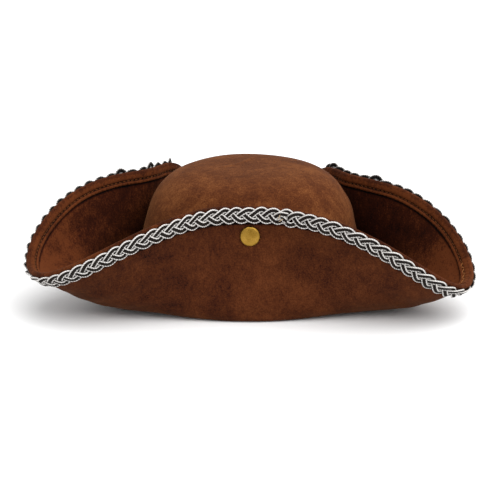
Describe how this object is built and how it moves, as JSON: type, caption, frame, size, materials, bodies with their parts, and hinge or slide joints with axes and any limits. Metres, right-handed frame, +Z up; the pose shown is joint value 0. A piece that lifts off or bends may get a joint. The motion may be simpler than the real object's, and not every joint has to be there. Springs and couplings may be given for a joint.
{
  "type": "pirate hat",
  "caption": "Three-cornered pirate hat in brown suede cloth, brim turned up and riveted to a round crown, silver and black braid along the bound edge",
  "frame": {"origin": "centre of the head opening, in the plane the hat rests on", "axes": "+Z up through the crown; the front panel with its rivet faces -Y, the back corner points to +Y, and X runs across the two front corners"},
  "size_m": [0.3781, 0.3417, 0.1073],
  "materials": {
    "crown_suede": "brushed suede cloth, mottled nap",
    "brim_suede": "brushed suede cloth, mottled nap",
    "binding": "suede tape, stitched",
    "braid": "plaited silver and black cord",
    "felt": "stiffened felt",
    "lining": "plain woven lining",
    "sweatband": "ribbed grosgrain band",
    "wire": "drawn steel wire",
    "brass": "satin brass"
  },
  "bodies": {
    "root": {"crown_shell": "crown_suede", "crown_stiffener": "felt", "crown_lining": "lining", "sweatband": "sweatband", "brim_outer_cloth": "brim_suede", "brim_core": "felt", "brim_inner_cloth": "brim_suede", "edge_wire": "wire", "edge_binding": "binding", "braid_trim": "braid", "front_rivet_cap": "brass", "front_rivet_post": "brass", "front_rivet_washer": "brass", "right_rivet_cap": "brass", "right_rivet_post": "brass", "right_rivet_washer": "brass", "left_rivet_cap": "brass", "left_rivet_post": "brass", "left_rivet_washer": "brass"}
  },
  "joints": []
}
